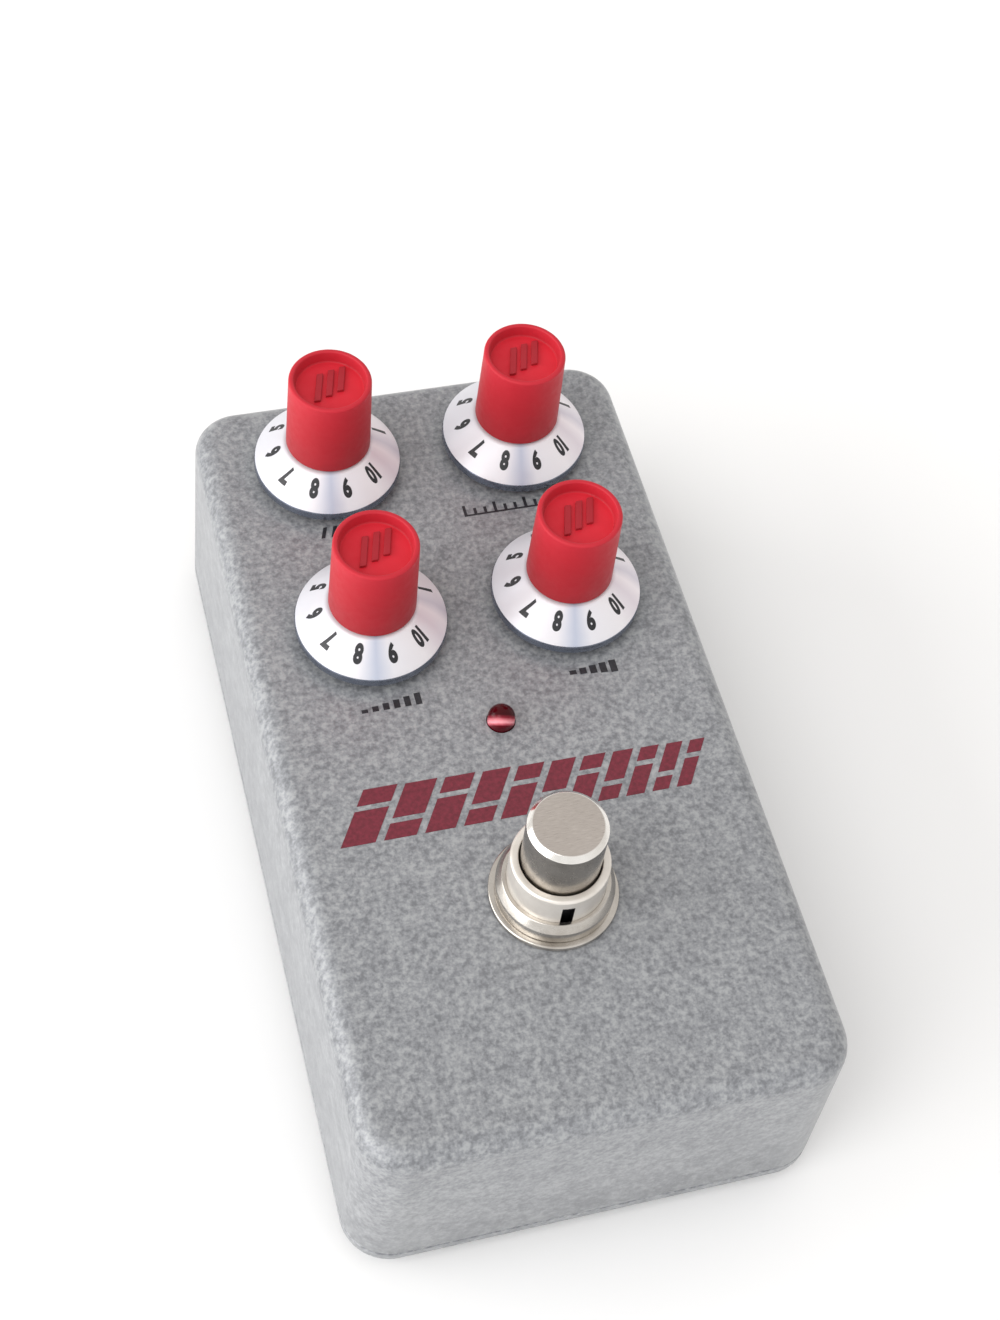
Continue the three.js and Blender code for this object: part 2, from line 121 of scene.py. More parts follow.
def fillet(points, steps=5):
    """points are (r, z) or (r, z, radius); each corner with a radius becomes an arc."""
    out = []
    n = len(points)
    for i, p in enumerate(points):
        if len(p) == 2 or i in (0, n - 1):
            out.append((p[0], p[1]))
            continue
        a, b, c = Vector(points[i - 1][:2]), Vector(p[:2]), Vector(points[i + 1][:2])
        u, v = (a - b).normalized(), (c - b).normalized()
        half = math.acos(max(-1, min(1, u.dot(v)))) / 2
        back = min(p[2] / math.tan(half), (a - b).length * 0.49, (c - b).length * 0.49)
        rad = back * math.tan(half)
        centre = b + (u + v).normalized() * (rad / math.sin(half))
        s, e = b + u * back, b + v * back
        a0 = math.atan2(*(s - centre).yx)
        a1 = math.atan2(*(e - centre).yx)
        d = (a1 - a0 + math.pi) % (2 * math.pi) - math.pi
        for k in range(steps + 1):
            t = a0 + d * k / steps
            out.append((centre.x + rad * math.cos(t), centre.y + rad * math.sin(t)))
    return out


def lathe_bm(profile, n=96, closed=False):
    """Turns an (r, z) profile in mm about Z. Closed profiles make rings."""
    bm = bmesh.new()
    pts = [(max(r, 0.0) / 1000, z / 1000) for r, z in profile]
    cols = []
    for r, z in pts:
        if r < 1e-8:
            cols.append([bm.verts.new((0, 0, z))] * n)
        else:
            cols.append(
                [
                    bm.verts.new((r * math.cos(2 * math.pi * k / n), r * math.sin(2 * math.pi * k / n), z))
                    for k in range(n)
                ]
            )
    pairs = list(zip(cols, cols[1:])) + ([(cols[-1], cols[0])] if closed else [])
    for a, b in pairs:
        for k in range(n):
            q = [a[k], a[(k + 1) % n], b[(k + 1) % n], b[k]]
            q = [v for i, v in enumerate(q) if v not in q[:i]]
            if len(q) > 2:
                bm.faces.new(q)
    return bm


def lathe(name, profile, at=(0, 0, 0), n=96, closed=False, turn=None, angle=38.0):
    return from_bmesh(name, lathe_bm(profile, n, closed), at, turn, angle)


def prism_bm(polygon, z0, z1):
    bm = bmesh.new()
    lo = [bm.verts.new((x / 1000, y / 1000, z0 / 1000)) for x, y in polygon]
    hi = [bm.verts.new((x / 1000, y / 1000, z1 / 1000)) for x, y in polygon]
    bm.faces.new(lo[::-1])
    bm.faces.new(hi)
    for i in range(len(polygon)):
        j = (i + 1) % len(polygon)
        bm.faces.new((lo[i], lo[j], hi[j], hi[i]))
    return bm


def join_bm(parts):
    out = bmesh.new()
    for p in parts:
        m = bpy.data.meshes.new("tmp")
        p.to_mesh(m)
        p.free()
        out.from_mesh(m)
        bpy.data.meshes.remove(m)
    return out


def moved(bm, x=0, y=0, z=0):
    bmesh.ops.translate(bm, verts=bm.verts, vec=(x / 1000, y / 1000, z / 1000))
    return bm


def turned(bm, matrix):
    bmesh.ops.transform(bm, matrix=matrix, verts=bm.verts)
    return bm


ALONG_Y = Matrix.Rotation(-math.pi / 2, 4, "X")  # what points along +Z points along +Y


def boolean(obj, cutters, operation="DIFFERENCE", angle=38.0):
    """Applies exact booleans with throwaway cutters, given in the object's own frame."""
    tools = []
    for i, bm in enumerate(cutters):
        bmesh.ops.recalc_face_normals(bm, faces=bm.faces)
        mesh = bpy.data.meshes.new(f"cutter_{i}")
        bm.to_mesh(mesh)
        bm.free()
        tool = bpy.data.objects.new(f"cutter_{i}", mesh)
        bpy.context.scene.collection.objects.link(tool)
        tool.matrix_world = obj.matrix_world
        mod = obj.modifiers.new(f"cut_{i}", "BOOLEAN")
        mod.operation = operation
        mod.solver = "EXACT"
        mod.object = tool
        tools.append(tool)
    bpy.context.view_layer.update()
    dg = bpy.context.evaluated_depsgraph_get()
    mesh = bpy.data.meshes.new_from_object(obj.evaluated_get(dg))
    obj.modifiers.clear()
    old = obj.data
    obj.data = mesh
    mesh.name = obj.name
    bpy.data.meshes.remove(old)
    for tool in tools:
        data = tool.data
        bpy.data.objects.remove(tool)
        bpy.data.meshes.remove(data)
    bm = bmesh.new()
    bm.from_mesh(mesh)
    bmesh.ops.remove_doubles(bm, verts=bm.verts, dist=2e-7)
    bmesh.ops.dissolve_degenerate(bm, edges=bm.edges, dist=1e-7)
    heal(bm)
    smooth(bm, angle)
    bm.to_mesh(mesh)
    bm.free()
    return obj


# ------------------------------------------------------------------ materials
class Nodes:
    """A little wrapper for a material's node tree, with the Principled shader as .out."""

    def __init__(self, name):
        self.mat = bpy.data.materials.new(name)
        self.mat.use_nodes = True
        self.t = self.mat.node_tree
        self.out = self.t.nodes["Principled BSDF"]
        self.coord = self.t.nodes.new("ShaderNodeTexCoord").outputs["Object"]

    def set(self, **values):
        for k, v in values.items():
            s = self.out.inputs[k.replace("_", " ")]
            s.default_value = v if not isinstance(v, tuple) or len(v) == 4 else (*v, 1)
        return self

    def link(self, a, b):
        self.t.links.new(a, b)

    def noise(self, scale, detail=3.0, rough=0.55, stretch=None, distortion=0.0):
        n = self.t.nodes.new("ShaderNodeTexNoise")
        n.inputs["Scale"].default_value = scale
        n.inputs["Detail"].default_value = detail
        n.inputs["Roughness"].default_value = rough
        n.inputs["Distortion"].default_value = distortion
        self.link(self.mapped(stretch), n.inputs["Vector"])
        return n.outputs["Fac"]

    def mapped(self, stretch):
        if not stretch:
            return self.coord
        m = self.t.nodes.new("ShaderNodeMapping")
        m.inputs["Scale"].default_value = stretch
        self.link(self.coord, m.inputs["Vector"])
        return m.outputs["Vector"]

    def voronoi(self, scale, feature="SMOOTH_F1", stretch=None):
        n = self.t.nodes.new("ShaderNodeTexVoronoi")
        n.feature = feature
        n.inputs["Scale"].default_value = scale
        if feature == "SMOOTH_F1":
            n.inputs["Smoothness"].default_value = 0.6
        self.link(self.mapped(stretch), n.inputs["Vector"])
        return n.outputs["Distance"]

    def math(self, op, a, b=None, clamp=False):
        n = self.t.nodes.new("ShaderNodeMath")
        n.operation = op
        n.use_clamp = clamp
        for i, v in enumerate((a, b)):
            if v is None:
                continue
            if isinstance(v, (int, float)):
                n.inputs[i].default_value = v
            else:
                self.link(v, n.inputs[i])
        return n.outputs[0]

    def ramp(self, fac, stops):
        n = self.t.nodes.new("ShaderNodeValToRGB")
        while len(n.color_ramp.elements) < len(stops):
            n.color_ramp.elements.new(0.5)
        for e, (pos, col) in zip(n.color_ramp.elements, stops):
            e.position = pos
            e.color = (*col, 1)
        self.link(fac, n.inputs["Fac"])
        return n.outputs["Color"]

    def spread(self, fac, lo, hi, a=0.3, b=0.7):
        n = self.t.nodes.new("ShaderNodeMapRange")
        n.inputs["From Min"].default_value = a
        n.inputs["From Max"].default_value = b
        n.inputs["To Min"].default_value = lo
        n.inputs["To Max"].default_value = hi
        self.link(fac, n.inputs["Value"])
        return n.outputs["Result"]

    def bump(self, height, strength, distance_mm, under=None):
        n = self.t.nodes.new("ShaderNodeBump")
        n.inputs["Strength"].default_value = strength
        n.inputs["Distance"].default_value = distance_mm / 1000
        self.link(height, n.inputs["Height"])
        if under:
            self.link(under, n.inputs["Normal"])
        self.link(n.outputs["Normal"], self.out.inputs["Normal"])
        return n.outputs["Normal"]

    def colour(self, socket):
        self.link(socket, self.out.inputs["Base Color"])

    def roughness(self, socket):
        self.link(socket, self.out.inputs["Roughness"])


def lin(*srgb):
    return tuple(
        (c / 255 / 12.92) if c / 255 <= 0.04045 else ((c / 255 + 0.055) / 1.055) ** 2.4 for c in srgb
    )


def hammered():
    """Hammer-finish enamel: light and dark grey flecks about a millimetre across, in shallow dimples."""
    m = Nodes("hammered_enamel")
    coarse = m.noise(1350, 2.2, 0.6)
    fine = m.noise(3100, 2.0, 0.5)
    mix = m.math("ADD", m.math("MULTIPLY", coarse, 0.72), m.math("MULTIPLY", fine, 0.28))
    broad = m.math("MULTIPLY", m.math("SUBTRACT", m.noise(330, 1.0), 0.5), 0.22)
    middle = m.math("MULTIPLY", m.math("SUBTRACT", m.noise(680, 1.0), 0.5), 0.16)
    fleck = m.math("ADD", mix, m.math("ADD", broad, middle))
    m.colour(
        m.ramp(
            fleck,
            [
                (0.36, lin(112, 114, 118)),
                (0.46, lin(131, 133, 137)),
                (0.54, lin(143, 145, 148)),
                (0.64, lin(159, 161, 163)),
            ],
        )
    )
    m.roughness(m.spread(coarse, 0.36, 0.54))
    dimples = m.voronoi(700)
    n = m.bump(dimples, 0.1, 0.08)
    m.bump(mix, 0.07, 0.05, n)
    m.set(Metallic=0.1, Coat_Weight=0.4, Coat_Roughness=0.32)
    return m.mat


def grip_red(name="grip_red", k=1.0):
    """Moulded red, with painted shade: the colour is darker towards the foot of the grip."""
    m = Nodes(name)
    sep = m.t.nodes.new("ShaderNodeSeparateXYZ")
    m.link(m.coord, sep.inputs[0])
    cloud = m.math("MULTIPLY", m.math("SUBTRACT", m.noise(240, 3, 0.6), 0.5), 0.5)
    # painted shade: the colour runs darker from the top of the grip down to its foot
    height = m.math("ADD", m.spread(sep.outputs["Z"], 0.0, 1.0, 0.006, 0.0181), cloud)
    shade_tones = [(0.0, (154, 13, 26)), (0.3, (169, 18, 33)), (0.75, (179, 21, 37)), (1.0, (187, 27, 44))]
    m.colour(m.ramp(height, [(at, lin(*(c * k for c in rgb))) for at, rgb in shade_tones]))
    grain = m.noise(5200, 2, 0.5)
    m.roughness(m.spread(m.noise(900, 3), 0.5, 0.64))
    m.bump(grain, 0.14, 0.03)
    m.set(Coat_Weight=0.0, Sheen_Weight=0.05, Sheen_Roughness=0.5, Specular_IOR_Level=0.36)
    return m.mat


def dial_white():
    """Satin skirt: near white, with painted reflection and shade: soft lighter and darker wedges by angle round the
    skirt, as on a spun surface.
    """
    m = Nodes("dial_satin_painted_sheen")
    sep = m.t.nodes.new("ShaderNodeSeparateXYZ")
    m.link(m.coord, sep.inputs[0])
    ang = m.math("ARCTAN2", sep.outputs["Y"], sep.outputs["X"])
    turn = m.math("ADD", m.math("DIVIDE", ang, 2 * math.pi), 0.5)
    turn = m.math("ADD", turn, m.math("MULTIPLY", m.math("SUBTRACT", m.noise(160, 2), 0.5), 0.02))
    # painted reflection and shade: lighter and darker wedges by angle round the skirt
    wedges = [
        (0.0, (204, 204, 210)),
        (0.09, (220, 219, 223)),
        (0.185, (220, 218, 222)),
        (0.225, (182, 188, 204)),
        (0.265, (222, 221, 226)),
        (0.35, (234, 231, 234)),
        (0.42, (220, 211, 218)),
        (0.455, (236, 228, 232)),
        (0.485, (208, 202, 212)),
        (0.53, (236, 230, 235)),
        (0.63, (238, 236, 239)),
        (0.8, (210, 211, 217)),
        (1.0, (204, 204, 210)),
    ]
    m.colour(m.ramp(turn, [(at, lin(*rgb)) for at, rgb in wedges]))
    m.roughness(m.spread(m.noise(600, 3), 0.34, 0.46))
    m.bump(m.noise(2400, 2), 0.03, 0.01)
    m.set(Metallic=0.15, Coat_Weight=0.0, Specular_IOR_Level=0.4)
    return m.mat


def dial_edge():
    # a darker blue-grey for the skirt's rim and underside: painted shade
    m = Nodes("dial_edge")
    m.colour(m.ramp(m.noise(300, 2), [(0.3, lin(104, 110, 124)), (0.7, lin(128, 134, 147))]))
    m.roughness(m.spread(m.noise(1600, 2), 0.2, 0.34))
    m.bump(m.noise(3000, 2, stretch=(0.1, 0.1, 1)), 0.02, 0.01)
    m.set(Metallic=0.75)
    return m.mat


def ink(name, a, b, rough=(0.35, 0.5)):
    m = Nodes(name)
    m.colour(m.ramp(m.noise(1900, 3, 0.6), [(0.35, a), (0.65, b)]))
    m.roughness(m.spread(m.noise(1300, 2), *rough))
    m.bump(m.noise(760, 2.5, 0.62), 0.25, 0.05)
    return m.mat


def chrome(name="chrome", a=(176, 172, 166), b=(214, 211, 206), rough=(0.1, 0.2), metallic=1.0):
    m = Nodes(name)
    m.colour(m.ramp(m.noise(260, 4, 0.6), [(0.3, lin(*a)), (0.7, lin(*b))]))
    m.roughness(m.spread(m.noise(900, 4), *rough))
    m.bump(m.noise(3400, 3), 0.02, 0.01)
    m.set(Metallic=metallic)
    return m.mat


def brushed_cap():
    """Nickel with a fine straight grain across the top."""
    m = Nodes("brushed_nickel")
    grain = m.noise(900, 3, 0.6, stretch=(1.0, 14.0, 1.0))
    m.colour(m.ramp(grain, [(0.3, lin(182, 174, 167)), (0.7, lin(206, 198, 191))]))
    m.roughness(m.spread(grain, 0.26, 0.4))
    m.bump(grain, 0.02, 0.01)
    m.set(Metallic=1.0, Anisotropic=0.35)
    return m.mat


def simple(name, a, b, rough, metallic=0.0, scale=500, bump=(0.1, 0.03), bump_scale=2600, **more):
    m = Nodes(name)
    m.colour(m.ramp(m.noise(scale, 4, 0.6), [(0.32, lin(*a)), (0.68, lin(*b))]))
    m.roughness(m.spread(m.noise(scale * 1.9, 3), *rough))
    m.bump(m.noise(bump_scale, 3), *bump)
    m.set(Metallic=metallic, **more)
    return m.mat


def board_green():
    m = Nodes("solder_mask")
    tracks = m.voronoi(330, "F1", stretch=(1, 1, 0.01))
    m.colour(m.ramp(tracks, [(0.1, lin(22, 84, 48)), (0.45, lin(30, 104, 60)), (0.6, lin(48, 130, 78))]))
    m.roughness(m.spread(m.noise(800, 3), 0.28, 0.44))
    m.bump(tracks, 0.2, 0.04)
    m.set(Coat_Weight=0.4, Coat_Roughness=0.2)
    return m.mat


def lamp_red():
    """Clear dark red, with a painted reflection: a pale band across the lower front of the lens."""
    m = Nodes("lamp_red")
    sep = m.t.nodes.new("ShaderNodeSeparateXYZ")
    m.link(m.coord, sep.inputs[0])
    # painted reflection: the colour is set by direction towards the front and by height on the dome
    ahead = m.math("ADD", m.math("MULTIPLY", sep.outputs["X"], -0.22), m.math("MULTIPLY", sep.outputs["Y"], -0.97))
    drop = m.math("MULTIPLY", m.math("SUBTRACT", 0.00245, sep.outputs["Z"]), 0.6)
    glint_band = m.math("ADD", m.math("ADD", ahead, drop), m.math("MULTIPLY", m.noise(900, 2), 0.0003))
    m.colour(
        m.ramp(
            m.spread(glint_band, 0.0, 1.0, -0.0014, 0.0030),
            [
                (0.0, lin(104, 4, 18)),
                (0.2, lin(66, 1, 9)),
                (0.5, lin(58, 1, 8)),
                (0.6, lin(128, 30, 44)),
                (0.68, lin(206, 116, 126)),
                (0.76, lin(236, 158, 166)),
                (0.82, lin(196, 96, 108)),
                (0.88, lin(96, 10, 26)),
                (0.96, lin(76, 4, 16)),
            ],
        )
    )
    m.roughness(m.spread(m.noise(1400, 2), 0.14, 0.2))
    m.bump(m.noise(1800, 2), 0.02, 0.01)
    m.set(IOR=1.45, Specular_IOR_Level=0.2, Coat_Weight=0.05, Coat_Roughness=0.12)
    return m.mat


M = {
    "paint": hammered(),
    "red": grip_red(),
    # a darker copy of the grip red, for the raised bars on the grip's top: painted shade
    "red_shade_mark": grip_red("grip_red_shade_mark", 0.87),
    # a lighter copy of the grip red, for the recessed top of the grip: painted light
    "red_lit_floor": grip_red("grip_red_lit_floor", 1.12),
    "dial": dial_white(),
    "dial_edge": dial_edge(),
    "digit": ink("print_black", lin(16, 16, 20), lin(30, 30, 36)),
    "label": ink("panel_black", lin(24, 24, 28), lin(44, 44, 50)),
    "motif": ink("panel_dark_red", lin(96, 22, 38), lin(118, 32, 50)),
    "chrome": chrome(),
    # a lighter copy of the nickel for the switch bush: painted light
    "bush": chrome("bush_nickel_painted_light", (222, 215, 206), (240, 235, 228), (0.28, 0.4), 0.62),
    # a lighter copy of the nickel for the button's rounded top edge: painted highlight
    "bright": chrome("edge_highlight_nickel", (226, 222, 216), (242, 239, 234), (0.12, 0.2)),
    "nickel": chrome("nickel_satin", (180, 174, 166), (208, 203, 196), (0.18, 0.28)),
    # a darker copy of the nickel for the button's side: painted shade
    "cap_shaded_side": chrome("side_shade_nickel", (150, 144, 136), (186, 180, 172), (0.18, 0.3)),
    "cap_top": brushed_cap(),
    "zinc": simple("zinc_plate", (150, 152, 156), (190, 192, 196), (0.3, 0.48), 1.0, 380),
    "oxide_and_shade": simple("black_oxide", (26, 26, 28), (52, 52, 56), (0.32, 0.5), 0.85, 700),
    "rubber": simple("rubber", (20, 20, 21), (36, 36, 37), (0.75, 0.92), 0.0, 420, (0.3, 0.06), 1900),
    "black": simple("moulded_black", (22, 22, 24), (40, 40, 43), (0.4, 0.6), 0.0, 420, (0.16, 0.04)),
    "board": board_green(),
    "lamp": lamp_red(),
    "blue": simple("housing_blue", (32, 68, 140), (48, 92, 172), (0.35, 0.5), 0.0, 300),
    "white": simple("nylon_white", (218, 216, 208), (238, 236, 230), (0.35, 0.5), 0.0, 300),
    "wire": simple("cable_grey", (120, 123, 127), (158, 160, 164), (0.45, 0.62), 0.0, 900),
    "film": simple("film_red", (132, 36, 24), (168, 54, 38), (0.2, 0.35), 0.0, 300, Coat_Weight=0.5),
}

SLOT_LOOK = {
    "painted_shell": "paint",
    "grip_red": "red",
    "dial_white": "dial",
    "chrome": "chrome",
    "zinc": "zinc",
    "black_steel": "oxide_and_shade",
    "rubber": "rubber",
    "black_plastic": "black",
    "board": "board",
    "lamp_red": "lamp",
    "blue_plastic": "blue",
    "white_plastic": "white",
    "grey_wire": "wire",
    "red_film": "film",
}
for part in frame["record"]["subparts"]:
    node = frame["nodes"][part["node"]]
    look = M[SLOT_LOOK[part["material_slot"]]]
    if node.data.materials:
        for i in range(len(node.data.materials)):
            node.data.materials[i] = look
    else:
        node.data.materials.append(look)


def piece(obj, body, slot, *looks, nodes=()):
    obj.data.materials.clear()
    for look in looks:
        obj.data.materials.append(M[look])
    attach(obj, body)
    if nodes:
        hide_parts(*nodes)
    return obj


# ------------------------------------------------------------------ cast shell
def outline(inset, z, arc=14):
    """One level of the box: a rounded rectangle, drafted, as points in mm about the box's middle."""
    hx, hy = HALF_W - inset, HALF_L - inset
    r = max(CORNER_R - inset, 0.3)
    t = max(0.0, -z) / SHELL_H
    kx, ky = 1 + DRAFT_X / HALF_W * t, 1 + DRAFT_Y / HALF_L * t
    pts = []
    for cx, cy, a0 in (
        (hx - r, -hy + r, -90),
        (hx - r, hy - r, 0),
        (-hx + r, hy - r, 90),
        (-hx + r, -hy + r, 180),
    ):
        for k in range(arc + 1):
            a = math.radians(a0 + 90 * k / arc)
            pts.append(((cx + r * math.cos(a)) * kx, (cy + r * math.sin(a)) * ky, z))
    return pts


def skin(levels, close_first=True, close_last=True):
    bm = bmesh.new()
    loops = [[bm.verts.new((x / 1000, y / 1000, z / 1000)) for x, y, z in lv] for lv in levels]
    for a, b in zip(loops, loops[1:]):
        n = len(a)
        for k in range(n):
            bm.faces.new((a[k], a[(k + 1) % n], b[(k + 1) % n], b[k]))
    if close_first:
        bm.faces.new(loops[0][::-1])
    if close_last:
        bm.faces.new(loops[-1])
    return bm


levels = [outline(WALL + 1.6, -PANEL), outline(WALL + 1.2, -PANEL)]
for k in range(1, 6):
    a = math.radians(90 * k / 5)
    levels.append(outline(WALL + 1.2 - 1.2 * math.sin(a), -PANEL - 1.2 * (1 - math.cos(a))))
levels += [outline(WALL, -SHELL_H), outline(0.18, -SHELL_H), outline(0.05, -SHELL_H + 0.06), outline(0.0, -SHELL_H + 0.2)]
for k in range(0, 13):
    a = math.radians(90 * k / 12)
    levels.append(outline(EDGE_R * (1 - math.cos(a)), -EDGE_R + EDGE_R * math.sin(a)))
levels += [outline(EDGE_R + 0.35, 0.0), outline(EDGE_R + 0.9, 0.0)]
shell = from_bmesh("shell_cast", skin(levels), (0, Y_MID, 0))


def cyl(r, z0, z1, x=0.0, y=0.0, n=64):
    return moved(lathe_bm([(0, z0), (r, z0), (r, z1), (0, z1)], n), x, y)


def cyl_y(r, y0, y1, x, z, n=64):
    return moved(turned(lathe_bm([(0, y0), (r, y0), (r, y1), (0, y1)], n), ALONG_Y), x, 0, z)


boolean(
    shell,
    [cyl(3.3, -SHELL_H, -PANEL + 0.63, x, y - Y_MID, 44) for x, y in BOSSES],
    "UNION",
)
cuts = [cyl(1.4, -SHELL_H - 1, -SHELL_H + 13.1, x, y - Y_MID, 28) for x, y in BOSSES]
cuts += [cyl(3.75, -5, 2, x, y - Y_MID, 48) for x, y in KNOBS.values()]
cuts += [cyl(LED_R + 0.12, -5, 2, 0, LED_Y - Y_MID, 48), cyl(6.2, -5, 2, 0, SWITCH_Y - Y_MID, 72)]
cuts += [moved(cyl_y(4.85, 20, 35, x, JACK_Z), 0, -Y_MID, 0) for x in (-JACK_X, JACK_X)]
cuts += [moved(cyl_y(4.2, 20, 35, 0, JACK_Z), 0, -Y_MID, 0)]
boolean(shell, cuts)
piece(shell, "case", "painted_shell", "paint", nodes=["enclosure_shell"])

# ------------------------------------------------------------------ bottom cover, screws, feet
kx = HALF_W + DRAFT_X
cover_levels = []
for inset, z in (
    (1.4, COVER_Z0),
    (0.9, COVER_Z0),
    (0.55, COVER_Z0),
    (0.3, COVER_Z0 + 0.05),
    (0.1, COVER_Z0 + 0.22),
    (0.0, COVER_Z0 + 0.5),
    (0.0, COVER_Z1 - 0.12),
    (0.12, COVER_Z1),
    (0.6, COVER_Z1),
    (1.2, COVER_Z1),
):
    lv = outline(inset, -SHELL_H)
    cover_levels.append([(x, y, z) for x, y, _ in lv])
cover = from_bmesh("cover_plate", skin(cover_levels), (0, Y_MID, 0))
seat = [(0, COVER_Z0 - 0.5), (3.05, COVER_Z0 - 0.5), (3.05, COVER_Z0 + 0.25), (1.6, COVER_Z0 + 1.6), (1.6, COVER_Z1 + 0.5), (0, COVER_Z1 + 0.5)]
boolean(cover, [moved(lathe_bm(seat, 48), x, y - Y_MID) for x, y in BOSSES])
piece(cover, "case", "painted_shell", "paint", nodes=["bottom_cover"])

for where, (x, y) in SCREWS.items():
    screw = lathe(
        f"screw_{where}",
        fillet(
            [
                (0, COVER_Z0 + 0.05),
                (2.85, COVER_Z0 + 0.05, 0.15),
                (2.85, COVER_Z0 + 0.3, 0.08),
                (1.3, COVER_Z0 + 1.75, 0.1),
                (1.3, COVER_Z1 + 9.3),
                (0.6, COVER_Z1 + 10.2),
                (0, COVER_Z1 + 10.2),
            ]
        ),
        (x, y, 0),
        n=48,
    )
    slots = []
    for a in (0, 90):
        wedge = [(-1.7, COVER_Z0 - 0.6), (1.7, COVER_Z0 - 0.6), (0.55, COVER_Z0 + 1.15), (-0.55, COVER_Z0 + 1.15)]
        bm = prism_bm(wedge, -0.3, 0.3)
        turned(bm, Matrix.Rotation(math.pi / 2, 4, "X"))
        turned(bm, Matrix.Rotation(math.radians(a + 17 * len(where)), 4, "Z"))
        slots.append(bm)
    boolean(screw, slots)
    piece(screw, "case", "black_steel", "oxide_and_shade", nodes=[f"cover_screw_{where}"])

for where, (x, y) in FEET.items():
    foot = lathe(
        f"foot_{where}",
        fillet(
            [
                (0, FLOOR + 0.35),
                (1.7, FLOOR + 0.35, 0.2),
                (2.0, FLOOR, 0.12),
                (4.8, FLOOR, 0.5),
                (5.25, FLOOR + 0.9, 0.5),
                (5.5, COVER_Z0 - 0.1, 0.05),
                (0, COVER_Z0 - 0.1),
            ]
        ),
        (x, y, 0),
        n=72,
    )
    piece(foot, "case", "rubber", "rubber", nodes=[f"rubber_foot_{where}"])

# ------------------------------------------------------------------ knobs
DIGIT_R = 7.4  # the ring that the numbers stand on
CAP_FLOOR = 16.5  # the recessed top of the grip
INDEX_3 = 77.5  # where the 3 stands at rest, in degrees from +X
CONE = [(9.62, 2.66), (7.7, 4.62), (5.9, 6.0)]


def cone_points(steps=14):
    out = []
    for k in range(steps + 1):
        t = k / steps
        p = [(1 - t) ** 2 * a + 2 * t * (1 - t) * b + t * t * c for a, b, c in zip(*CONE)]
        out.append(tuple(p))
    return out


def cone_height(r):
    pts = cone_points(60)
    for (r0, z0), (r1, z1) in zip(pts, pts[1:]):
        if r0 >= r >= r1:
            return z0 + (z1 - z0) * (r - r0) / (r1 - r0)
    return pts[0][1] if r > pts[0][0] else pts[-1][1]


def glyph(text, height, squeeze=0.8, weight=0.02, depth=0.05):
    """A numeral as a thin closed mesh, centred, in mm."""
    curve = bpy.data.curves.new("glyph", "FONT")
    curve.body = text
    curve.size = 1.0
    curve.extrude = 0.5
    curve.offset = weight
    curve.resolution_u = 6
    obj = bpy.data.objects.new("glyph", curve)
    bpy.context.scene.collection.objects.link(obj)
    bpy.context.view_layer.update()
    mesh = bpy.data.meshes.new_from_object(obj.evaluated_get(bpy.context.evaluated_depsgraph_get()))
    bpy.data.objects.remove(obj)
    bpy.data.curves.remove(curve)
    bm = bmesh.new()
    bm.from_mesh(mesh)
    bpy.data.meshes.remove(mesh)
    bmesh.ops.remove_doubles(bm, verts=bm.verts, dist=1e-5)
    heal(bm)
    xs = [v.co.x for v in bm.verts]
    ys = [v.co.y for v in bm.verts]
    cx, cy, k = (min(xs) + max(xs)) / 2, (min(ys) + max(ys)) / 2, height / (max(ys) - min(ys))
    for v in bm.verts:
        v.co = ((v.co.x - cx) * k * squeeze, (v.co.y - cy) * k, v.co.z * depth)
    return bm


def dial_digits(name):
    """Numbers 1 to 10 round the skirt, tops outwards, rising clockwise as the knob is turned up."""
    parts = []
    slope = math.atan2(CONE[1][1] - CONE[0][1], CONE[0][0] - CONE[1][0])
    for number in range(1, 11):
        ang = math.radians(INDEX_3 + (number - 3) * 100 / 3)
        bm = glyph(str(number), 2.95, 0.58 if number < 10 else 0.5, 0.055)
        bmesh.ops.subdivide_edges(bm, edges=[e for e in bm.edges if e.calc_length() > 0.45], cuts=2)
        for v in bm.verts:
            u, w, h = v.co.x, v.co.y, v.co.z
            r = DIGIT_R + w * math.cos(slope)
            a = ang - u / DIGIT_R
            z = cone_height(r) + 0.012 + h
            v.co = (r * math.cos(a) / 1000, r * math.sin(a) / 1000, z / 1000)
        parts.append(bm)
    return join_bm(parts)


def cap_relief():
    """Three raised slanted bars in the recessed top of the grip."""
    top = CAP_FLOOR
    parts = []
    for x0, y0, y1, w in ((-1.9, -2.1, 2.3, 0.85), (-0.45, -1.5, 2.7, 0.85), (1.0, -0.9, 3.0, 0.85)):
        k = 0.28
        bar = [(x0 + y0 * k, y0), (x0 + w + y0 * k, y0), (x0 + w + y1 * k, y1), (x0 + y1 * k, y1)]
        parts.append(prism_bm(bar, top - 0.1, top + 0.4))
    return join_bm(parts)


